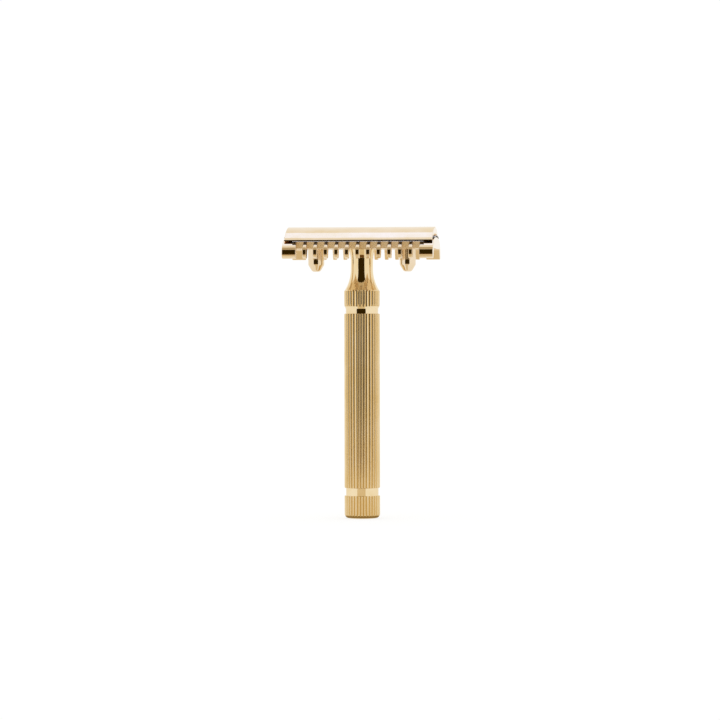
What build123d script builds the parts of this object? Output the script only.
from build123d import *
import os
from math import acos, asin, atan2, degrees, hypot, sin, sqrt

# Three-piece safety razor with an open comb, for a standard double-edged blade.
# Millimetres. The razor stands on its knob: the origin is the middle of the knob's
# flat base, +Z runs up the handle to the head, +X along the blade, +Y across it.

# ---------------------------------------------------------------- driving sizes

# Handle, from the base upwards
grip_diameter = 10.1
knob_height = 6.5
lower_band_height = 2.2
grip_length = 49.6
upper_band_height = 1.4
collar_height = 5.4
neck_height = 11.6
band_recess = 0.4
knob_edge_radius = 1.4
grip_edge_chamfer = 0.12

# Straight flutes, cut right through each fluted length so that they run out on its ends
flute_count = 36
flute_width = 0.7
flute_depth = 0.16

# Collar and neck
collar_edge_radius = 3.0
collar_crown = 0.2
collar_crown_height = 0.45
neck_sweep_radius = 11.2
neck_flare_height = 3.2
neck_wall = 0.68
neck_edge_chamfer = 0.1

# Joints inside the handle: a spigot on each end piece, fixed in the grip's bore
grip_wall = 1.55
spigot_length = 8.0
spigot_chamfer = 0.5
joint_clearance = 0.02

# Centre stud and its tapped bore in the neck
stud_diameter = 4.9
thread_engagement = 8.2
thread_clearance = 0.05
thread_lead_in = 0.35
stud_tip_chamfer = 0.6
tapping_allowance = 1.4
drill_point_depth = 1.3

# Double-edged blade, bent over the bed
blade_length = 43.0
blade_width = 22.0
blade_thickness = 0.1
blade_bend_radius = 32.5
blade_edge_length = 37.3
blade_tab_width = 13.0
blade_bevel_width = 0.9
blade_edge_land = 0.02
blade_slot_width = 1.6
blade_slot_overrun = 2.2
blade_hole_clearance = 0.15

# Clamping: how far the blade stands off what holds it, and how far it reaches out
blade_seat_gap = 0.03
blade_exposure = 0.49
blade_overhang = 1.49

# Comb plate
plate_end_inset = 0.1
plate_thickness = 3.35
bed_radius = 41.0
crest_radius = 0.3
comb_reach = 1.66
comb_drop = 3.11
nose_radius = 2.6
nose_land_height = 0.3
tooth_foot_radius = 1.3
tooth_foot_width = 1.85
tooth_root_width = 3.05
toe_radius = 0.3
root_radius = 0.4
tooth_count = 11
tooth_pitch = 3.0
tooth_width = 1.15
tooth_edge_radius = 0.2
slot_setback = 0.3
plate_edge_chamfer = 0.12
stud_hole_clearance = 0.2

# Cap
cap_end_inset = 0.5
cap_crown_thickness = 1.86
cap_top_radius = 15.5
cap_underside_radius = 24.0
cap_end_radius = 0.15
cap_skin = 0.8

# Guide pins
pin_diameter = 4.6
pin_spacing = 26.2
pin_root_diameter = 3.4
pin_length = 10.9
pin_point_length = 1.95
pin_nose_diameter = 2.2
pin_point_rounding = 1.0
pin_clearance = 0.08
stud_root_diameter = 3.8


# ---------------------------------------------------------------- derived sizes


def drop(radius, reach):
    """How far an arc of this radius falls below its crown at this distance out."""
    return radius - sqrt(radius**2 - reach**2)


grip_radius = grip_diameter / 2
band_radius = grip_radius - band_recess
bore_radius = grip_radius - grip_wall
spigot_radius = bore_radius - joint_clearance
flute_cutter_radius = flute_width**2 / (8 * flute_depth) + flute_depth / 2
flute_cutter_centre = grip_radius - flute_depth + flute_cutter_radius

grip_bottom = knob_height + lower_band_height
grip_top = grip_bottom + grip_length
collar_bottom = grip_top + upper_band_height
collar_top = collar_bottom + collar_height
seat = collar_top + neck_height

stud_radius = stud_diameter / 2
thread_radius = stud_radius + thread_clearance
waist_radius = thread_radius + neck_wall
stud_tip = seat - thread_engagement
tapped_end = stud_tip - tapping_allowance

# Across the head, everything is laid out from the cutting edge
blade_under_radius = blade_bend_radius - blade_thickness
blade_middle_radius = blade_bend_radius - blade_thickness / 2
edge_reach = blade_middle_radius * sin(blade_width / 2 / blade_middle_radius)
crest_reach = edge_reach - blade_overhang
cap_reach = edge_reach - blade_exposure
nose_reach = edge_reach + comb_reach
nose_centre = nose_reach - nose_radius

# Up the head: the bed, then the blade on the bed's crests, then the cap on the blade
bed_crown = seat + plate_thickness
crest = bed_crown - drop(bed_radius, crest_reach)
blade_axis = crest - sqrt((blade_under_radius - blade_seat_gap) ** 2 - crest_reach**2)
cap_lip = blade_axis + sqrt((blade_bend_radius + blade_seat_gap) ** 2 - cap_reach**2)
cap_hollow_crown = cap_lip + drop(cap_underside_radius, cap_reach)
cap_crown = cap_hollow_crown + cap_crown_thickness
cutting_edge = blade_axis + sqrt(blade_under_radius**2 - edge_reach**2)
land_top = cutting_edge - comb_drop
land_bottom = land_top - nose_land_height
tooth_foot = land_bottom - tooth_foot_radius

plate_length = blade_length - 2 * plate_end_inset
cap_length = blade_length - 2 * cap_end_inset
slot_width = tooth_pitch - tooth_width

pin_radius = pin_diameter / 2
pin_offset = pin_spacing / 2
root_top = cap_crown - cap_skin
pin_tip = cap_hollow_crown - pin_length


def cut_flutes(bottom, height):
    """Cut the ring of straight flutes through the open part, over this height."""
    with BuildSketch(Plane.XY.offset(bottom)) as flutes:
        with PolarLocations(flute_cutter_centre, flute_count):
            Circle(flute_cutter_radius)
    extrude(flutes.sketch, amount=height, mode=Mode.SUBTRACT)


# ---------------------------------------------------------------- handle

# Fluted end knob, with the plain lower band and the spigot that holds it in the grip
with BuildPart() as end_knob:
    with BuildSketch(Plane.XZ):
        with BuildLine():
            Polyline(
                (0, grip_bottom + spigot_length),
                (spigot_radius - spigot_chamfer, grip_bottom + spigot_length),
                (spigot_radius, grip_bottom + spigot_length - spigot_chamfer),
                (spigot_radius, grip_bottom),
                (band_radius, grip_bottom),
                (band_radius, knob_height),
                (grip_radius - grip_edge_chamfer, knob_height),
                (grip_radius, knob_height - grip_edge_chamfer),
                (grip_radius, knob_edge_radius),
            )
            knob_corner = (grip_radius - knob_edge_radius, knob_edge_radius)
            CenterArc(knob_corner, knob_edge_radius, 0, -90)
            Polyline((grip_radius - knob_edge_radius, 0), (0, 0), (0, grip_bottom + spigot_length))
        make_face()
    revolve(axis=Axis.Z)
    cut_flutes(0, knob_height)
end_knob.part.label = "end_knob"

# Fluted grip tube
with BuildPart() as handle_grip:
    with BuildSketch(Plane.XY.offset(grip_bottom)):
        Circle(grip_radius)
        Circle(bore_radius, mode=Mode.SUBTRACT)
    extrude(amount=grip_length)
    grip_rims = handle_grip.edges().filter_by(GeomType.CIRCLE)
    chamfer(grip_rims.filter_by(lambda rim: rim.radius == grip_radius), grip_edge_chamfer)
    cut_flutes(grip_bottom, grip_length)
handle_grip.part.label = "handle_grip"

# Waisted neck, fluted collar, plain upper band and spigot, bored and tapped from above
collar_edge_height = sqrt(collar_edge_radius**2 - (collar_edge_radius - band_recess) ** 2)
collar_shoulder = grip_radius - collar_crown
sweep_height = sqrt(neck_sweep_radius**2 - (neck_sweep_radius - collar_shoulder + waist_radius) ** 2)
sweep_centre_radius = waist_radius + neck_sweep_radius
sweep_angle = degrees(asin(sweep_height / neck_sweep_radius))
flare_angle = degrees(asin(neck_flare_height / neck_sweep_radius))
waist_bottom = collar_top + sweep_height
waist_top = seat - neck_edge_chamfer - neck_flare_height

with BuildPart() as handle_neck:
    with BuildSketch(Plane.XZ):
        with BuildLine():
            flare = CenterArc((sweep_centre_radius, waist_top), neck_sweep_radius, 180, -flare_angle)
            Line(flare @ 0, (waist_radius, waist_bottom))
            sweep = CenterArc((sweep_centre_radius, waist_bottom), neck_sweep_radius, 180, sweep_angle)
            Polyline(
                sweep @ 1,
                (grip_radius, collar_top - collar_crown_height),
                (grip_radius, collar_bottom + collar_edge_height),
            )
            RadiusArc(
                (grip_radius, collar_bottom + collar_edge_height),
                (band_radius, collar_bottom),
                collar_edge_radius,
            )
            Polyline(
                (band_radius, collar_bottom),
                (band_radius, grip_top),
                (spigot_radius, grip_top),
                (spigot_radius, grip_top - spigot_length + spigot_chamfer),
                (spigot_radius - spigot_chamfer, grip_top - spigot_length),
                (0, grip_top - spigot_length),
                (0, tapped_end - drill_point_depth),
                (thread_radius, tapped_end),
                (thread_radius, seat - thread_lead_in),
                (thread_radius + thread_lead_in, seat),
                ((flare @ 1).X - neck_edge_chamfer, seat),
                flare @ 1,
            )
        make_face()
    revolve(axis=Axis.Z)
    cut_flutes(collar_bottom, collar_height)
handle_neck.part.label = "handle_neck"


# ---------------------------------------------------------------- comb plate

with BuildPart() as comb_plate:
    # Section: bed, crest, a straight flank that runs tangent into the rounded nose, a narrow
    # flat land at the widest point, the foot, and the flat seat underneath
    crest_point = (crest_reach, crest)
    from_nose_centre = (crest_reach - nose_centre, crest - land_top)
    flank_angle = degrees(
        atan2(from_nose_centre[1], from_nose_centre[0])
        - acos(nose_radius / hypot(*from_nose_centre))
    )
    toe_point = (nose_reach - tooth_foot_width, tooth_foot)
    root_point = (nose_reach - tooth_root_width, seat)
    with BuildSketch(Plane.YZ) as section:
        with BuildLine():
            RadiusArc((0, bed_crown), crest_point, bed_radius)
            nose = CenterArc((nose_centre, land_top), nose_radius, flank_angle, -flank_angle)
            Line(crest_point, nose @ 0)
            Line(nose @ 1, (nose_reach, land_bottom))
            foot_centre = (nose_reach - tooth_foot_radius, land_bottom)
            foot = CenterArc(foot_centre, tooth_foot_radius, 0, -90)
            Polyline(foot @ 1, toe_point, root_point, (0, seat))
            mirror(about=Plane.YZ)
        make_face()
        for (across, up), radius in (
            (crest_point, crest_radius),
            (toe_point, toe_radius),
            (root_point, root_radius),
        ):
            for side in (-1, 1):
                fillet(section.vertices().sort_by_distance((side * across, up))[0], radius)
    extrude(amount=plate_length / 2, both=True)
    chamfer(comb_plate.faces().filter_by(Axis.X).edges(), plate_edge_chamfer)

    # Slots between the teeth, open at the front and rear edges
    slot_root = crest_reach - slot_setback
    slot_reach = nose_reach + nose_radius - slot_root
    with BuildSketch(Plane.XY.offset(tooth_foot)):
        with GridLocations(tooth_pitch, 2 * slot_root + slot_reach, tooth_count + 1, 2):
            Rectangle(slot_width, slot_reach)
    extrude(amount=bed_crown - tooth_foot, mode=Mode.SUBTRACT)

    # Rounded edges all the way round both sides of every tooth and of the end blocks
    def beside_a_slot(edge):
        middle = edge.center()
        flat_on_side = edge.bounding_box().size.X < tooth_edge_radius / 10
        upright = edge.bounding_box().size.Y < tooth_edge_radius / 10 and abs(middle.Y) < crest_reach
        inside_ends = abs(middle.X) < plate_length / 2 - 2 * plate_edge_chamfer
        return flat_on_side and inside_ends and abs(middle.Y) > slot_root and not upright

    fillet(comb_plate.edges().filter_by(beside_a_slot), tooth_edge_radius)

    # Holes for the stud and the two guide pins
    with Locations((0, 0, bed_crown)):
        Hole(stud_radius + stud_hole_clearance, depth=plate_thickness)
    with Locations((-pin_offset, 0, bed_crown), (pin_offset, 0, bed_crown)):
        Hole(pin_radius + pin_clearance, depth=plate_thickness)
comb_plate.part.label = "comb_plate"


# ---------------------------------------------------------------- blade

bevel_angle = (blade_width / 2 - blade_bevel_width) / blade_middle_radius
edge_angle = blade_width / 2 / blade_middle_radius


def blade_point(radius, angle):
    """A point of the blade's section, at this radius and angle from the crown."""
    return (radius * sin(angle), blade_axis + radius * sqrt(1 - sin(angle) ** 2))


with BuildPart() as blade:
    with BuildSketch(Plane.YZ):
        with BuildLine():
            top = RadiusArc(
                blade_point(blade_bend_radius, 0),
                blade_point(blade_bend_radius, bevel_angle),
                blade_bend_radius,
            )
            Polyline(
                top @ 1,
                blade_point(blade_middle_radius + blade_edge_land / 2, edge_angle),
                blade_point(blade_middle_radius - blade_edge_land / 2, edge_angle),
                blade_point(blade_under_radius, bevel_angle),
            )
            RadiusArc(
                blade_point(blade_under_radius, bevel_angle),
                blade_point(blade_under_radius, 0),
                -blade_under_radius,
            )
            mirror(about=Plane.YZ)
        make_face()
    extrude(amount=blade_length / 2, both=True)

    # Corners notched back to the end tabs, then the holes and the slot that joins them
    notch_length = (blade_length - blade_edge_length) / 2
    notch_width = edge_reach + blade_bevel_width - blade_tab_width / 2
    with BuildSketch(Plane.XY.offset(blade_axis)):
        with GridLocations(
            blade_length - notch_length, blade_tab_width + notch_width, 2, 2
        ):
            Rectangle(notch_length, notch_width)
        SlotCenterToCenter(pin_spacing + 2 * blade_slot_overrun, blade_slot_width)
        with Locations((-pin_offset, 0), (pin_offset, 0)):
            Circle(pin_radius + blade_hole_clearance)
        Circle(stud_radius + stud_hole_clearance)
    extrude(amount=blade_bend_radius + blade_thickness, mode=Mode.SUBTRACT)
blade.part.label = "blade"


# ---------------------------------------------------------------- cap, stud and pins

with BuildPart() as cap:
    cap_lip_top = cap_crown - drop(cap_top_radius, cap_reach)
    with BuildSketch(Plane.YZ):
        with BuildLine():
            outside = RadiusArc((0, cap_crown), (cap_reach, cap_lip_top), cap_top_radius)
            Line(outside @ 1, (cap_reach, cap_lip))
            RadiusArc((cap_reach, cap_lip), (0, cap_hollow_crown), -cap_underside_radius)
            mirror(about=Plane.YZ)
        make_face()
    extrude(amount=cap_length / 2, both=True)
    fillet(cap.faces().filter_by(Axis.X).edges().sort_by(Axis.Z)[-2:], cap_end_radius)

    # Sockets for the roots of the stud and of the pins
    with BuildSketch(Plane.XY.offset(root_top)):
        Circle(stud_root_diameter / 2 + joint_clearance)
        with Locations((-pin_offset, 0), (pin_offset, 0)):
            Circle(pin_root_diameter / 2 + joint_clearance)
    extrude(amount=cap_lip - root_top, mode=Mode.SUBTRACT)
cap.part.label = "cap"

# Threaded centre stud: its root stands in the cap, its shoulder meets the cap's hollow
stud_shoulder = cap_hollow_crown - drop(cap_underside_radius, stud_radius)
with BuildPart() as centre_stud:
    with BuildSketch(Plane.XZ):
        with BuildLine():
            Polyline(
                (0, stud_tip),
                (stud_radius - stud_tip_chamfer, stud_tip),
                (stud_radius, stud_tip + stud_tip_chamfer),
                (stud_radius, stud_shoulder),
                (stud_root_diameter / 2, stud_shoulder),
                (stud_root_diameter / 2, root_top),
                (0, root_top),
                close=True,
            )
        make_face()
    revolve(axis=Axis.Z)
centre_stud.part.label = "centre_stud"

# Guide pin with a blunt coned point, made once for the left side and mirrored to the right
pin_shoulder = cap_hollow_crown - drop(cap_underside_radius, pin_radius)
pin_plane = Plane(origin=(-pin_offset, 0, 0), x_dir=(1, 0, 0), z_dir=(0, -1, 0))
with BuildPart() as guide_pin_left:
    with BuildSketch(pin_plane):
        with BuildLine():
            Polyline(
                (0, pin_tip),
                (0, root_top),
                (pin_root_diameter / 2, root_top),
                (pin_root_diameter / 2, pin_shoulder),
                (pin_radius, pin_shoulder),
            )
            FilletPolyline(
                (pin_radius, pin_shoulder),
                (pin_radius, pin_tip + pin_point_length),
                (pin_nose_diameter / 2, pin_tip),
                (0, pin_tip),
                radius=pin_point_rounding,
            )
        make_face()
    revolve(axis=Axis((-pin_offset, 0, 0), (0, 0, 1)))
guide_pin_left.part.label = "guide_pin_left"

with BuildPart() as guide_pin_right:
    mirror(guide_pin_left.part, about=Plane.YZ)
guide_pin_right.part.label = "guide_pin_right"


# ---------------------------------------------------------------- export

os.makedirs("parts", exist_ok=True)
export_step(end_knob.part, "parts/end_knob.step")
export_step(handle_grip.part, "parts/handle_grip.step")
export_step(handle_neck.part, "parts/handle_neck.step")
export_step(comb_plate.part, "parts/comb_plate.step")
export_step(blade.part, "parts/blade.step")
export_step(cap.part, "parts/cap.step")
export_step(centre_stud.part, "parts/centre_stud.step")
export_step(guide_pin_left.part, "parts/guide_pin_left.step")
export_step(guide_pin_right.part, "parts/guide_pin_right.step")

print(f"seat of the comb plate {seat:.2f}, crest {crest:.2f}, comb's widest point {land_top:.2f}")
print(f"cutting edge {cutting_edge:.2f}, slope of the comb's flank {90 - flank_angle:.1f} degrees")
print(f"cap lip {cap_lip:.2f}, underside {cap_hollow_crown:.2f}, crown {cap_crown:.2f}")
print(f"reach of crest {crest_reach:.2f}, cap {cap_reach:.2f}, edge {edge_reach:.2f}, nose {nose_reach:.2f}")
print(f"foot of the teeth {tooth_foot:.2f}, pin tips {pin_tip:.2f}")
